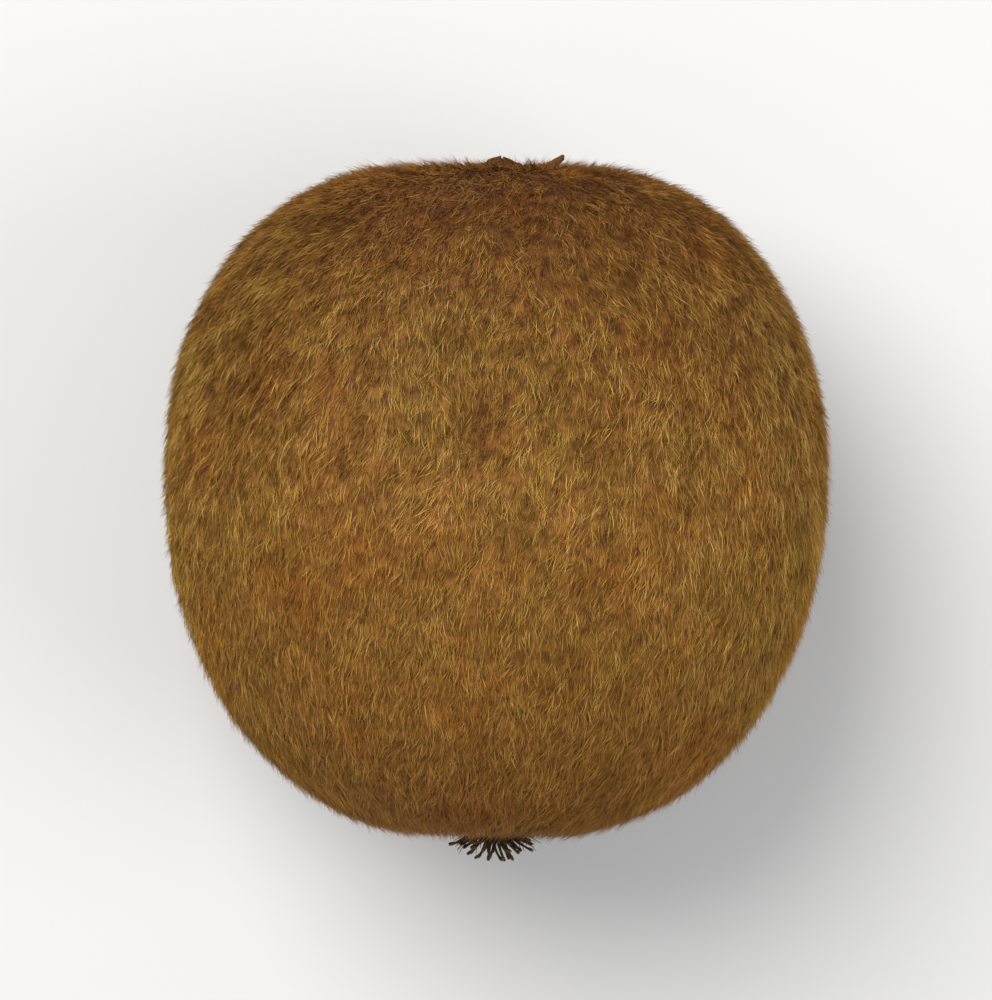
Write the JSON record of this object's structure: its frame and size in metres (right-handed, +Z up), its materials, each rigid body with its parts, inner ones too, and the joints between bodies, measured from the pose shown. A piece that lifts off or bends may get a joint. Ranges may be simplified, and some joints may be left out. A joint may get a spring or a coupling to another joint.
{
  "type": "kiwifruit",
  "caption": "Whole fuzzy kiwifruit lying on its side on a small flat spot, with a corky stalk scar ringed by dried sepals at one end and a tuft of dried styles at the other.",
  "frame": {"origin": "under the middle of the object's box, on the surface that it lies on", "axes": "+Z up from the surface; +Y along the fruit's axis, from the blossom end to the stalk end; +X across its width"},
  "size_m": [0.0542, 0.0586, 0.0507],
  "materials": {
    "fuzzy_skin": "matte brown skin under short golden-brown hairs",
    "stalk_cork": "dry pale cork, matte",
    "dry_sepal": "dry papery brown, matte",
    "dry_style": "dry, nearly black, matte"
  },
  "bodies": {
    "root": {"fruit": "fuzzy_skin", "stalk_scar": "stalk_cork", "dried_sepals": "dry_sepal", "dried_styles": "dry_style"}
  },
  "joints": []
}
